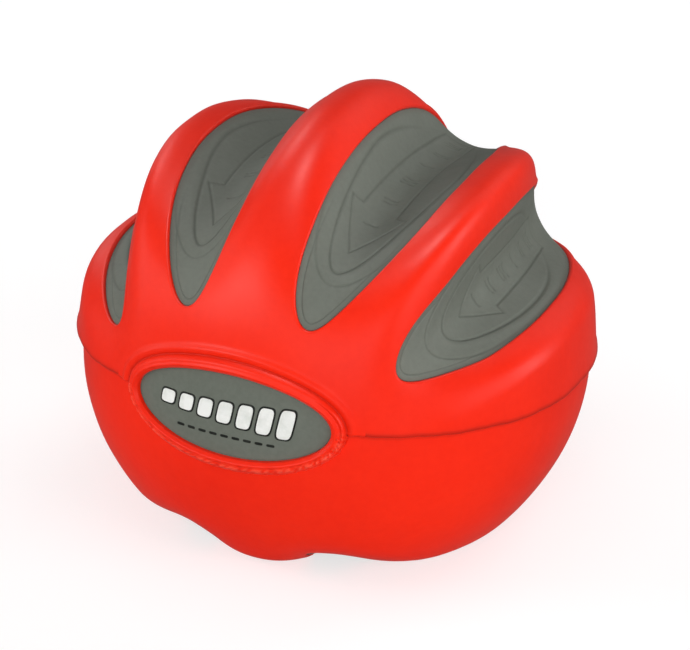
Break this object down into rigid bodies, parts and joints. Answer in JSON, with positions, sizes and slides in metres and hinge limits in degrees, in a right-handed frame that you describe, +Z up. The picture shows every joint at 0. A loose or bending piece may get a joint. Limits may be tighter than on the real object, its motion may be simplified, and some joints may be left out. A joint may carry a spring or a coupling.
{
  "type": "finger exerciser",
  "caption": "Hand-held squeeze exerciser: soft moulded ball with padded finger grooves over the top, thumb recesses underneath and an oval badge at the front.",
  "frame": {"origin": "middle of the flat resting face underneath, which is also the middle of the length and the depth", "axes": "+X along the row of fingers, -Y towards the front with the oval badge, +Z up through the finger grooves"},
  "size_m": [0.0758, 0.0735, 0.0618],
  "materials": {
    "red_skin": "satin",
    "red_skin_lower": "satin",
    "foam": "matte",
    "grey_pad": "matte",
    "grey_badge": "matte"
  },
  "bodies": {
    "body": {"upper_shell": "red_skin", "lower_shell": "red_skin_lower", "foam_core": "foam", "badge_plate": "grey_badge"},
    "finger_1": {"finger_pad_1": "grey_pad"},
    "finger_2": {"finger_pad_2": "grey_pad"},
    "finger_3": {"finger_pad_3": "grey_pad"},
    "finger_4": {"finger_pad_4": "grey_pad"},
    "thumb_left": {"thumb_pad_left": "grey_pad"},
    "thumb_right": {"thumb_pad_right": "grey_pad"}
  },
  "joints": [
    {"name": "finger_1_press", "type": "slide", "parent": "body", "child": "finger_1", "axis": [0.7373, 0, -0.6756], "range_m": [0, 0.006], "stiffness_N_per_m": 900, "deforming": ["foam_core"]},
    {"name": "finger_2_press", "type": "slide", "parent": "body", "child": "finger_2", "axis": [0.2957, 0, -0.9553], "range_m": [0, 0.006], "stiffness_N_per_m": 900, "deforming": ["foam_core"]},
    {"name": "finger_3_press", "type": "slide", "parent": "body", "child": "finger_3", "axis": [-0.2957, 0, -0.9553], "range_m": [0, 0.006], "stiffness_N_per_m": 900, "deforming": ["foam_core"]},
    {"name": "finger_4_press", "type": "slide", "parent": "body", "child": "finger_4", "axis": [-0.7373, 0, -0.6756], "range_m": [0, 0.006], "stiffness_N_per_m": 900, "deforming": ["foam_core"]},
    {"name": "thumb_left_press", "type": "slide", "parent": "body", "child": "thumb_left", "axis": [0.4289, 0, 0.9033], "range_m": [0, 0.004], "stiffness_N_per_m": 1000, "deforming": ["foam_core"]},
    {"name": "thumb_right_press", "type": "slide", "parent": "body", "child": "thumb_right", "axis": [-0.4289, 0, 0.9033], "range_m": [0, 0.004], "stiffness_N_per_m": 1000, "deforming": ["foam_core"]}
  ]
}
